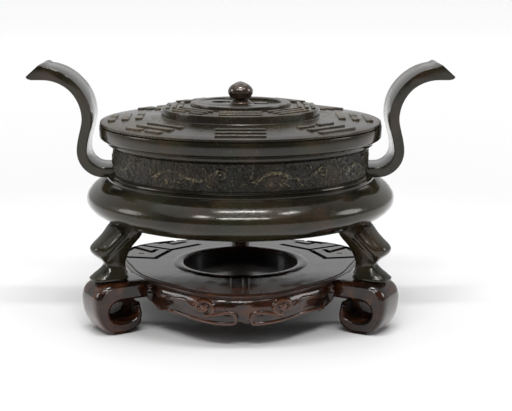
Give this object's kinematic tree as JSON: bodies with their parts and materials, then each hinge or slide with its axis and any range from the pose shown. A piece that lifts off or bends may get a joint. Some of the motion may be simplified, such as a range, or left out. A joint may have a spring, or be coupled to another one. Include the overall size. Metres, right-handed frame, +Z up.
{
  "type": "bronze incense burner",
  "caption": "Lidded bronze tripod incense burner with upright S-curved handles, a stepped trigram lid with a bud knob, and a carved hardwood stand on scroll feet.",
  "frame": {"origin": "on the surface the stand rests on, under the middle of the whole outline; the censer's axis is 3.85 mm towards -Y from it", "axes": "+Z up; +X through the right-hand handle, so the two handles lie along X; -Y towards the viewer, between the stand's two front feet"},
  "size_m": [0.2224, 0.1722, 0.1351],
  "materials": {
    "hardwood": "dark red-brown lacquered and polished",
    "bronze": "dark olive-brown patina, satin",
    "lid_bronze": "dark olive-brown patina, satin",
    "knob_bronze": "red-brown patina, glossy"
  },
  "bodies": {
    "root": {"stand": "hardwood", "burner": "bronze", "lid": "lid_bronze", "lid_knob": "knob_bronze"}
  },
  "joints": []
}
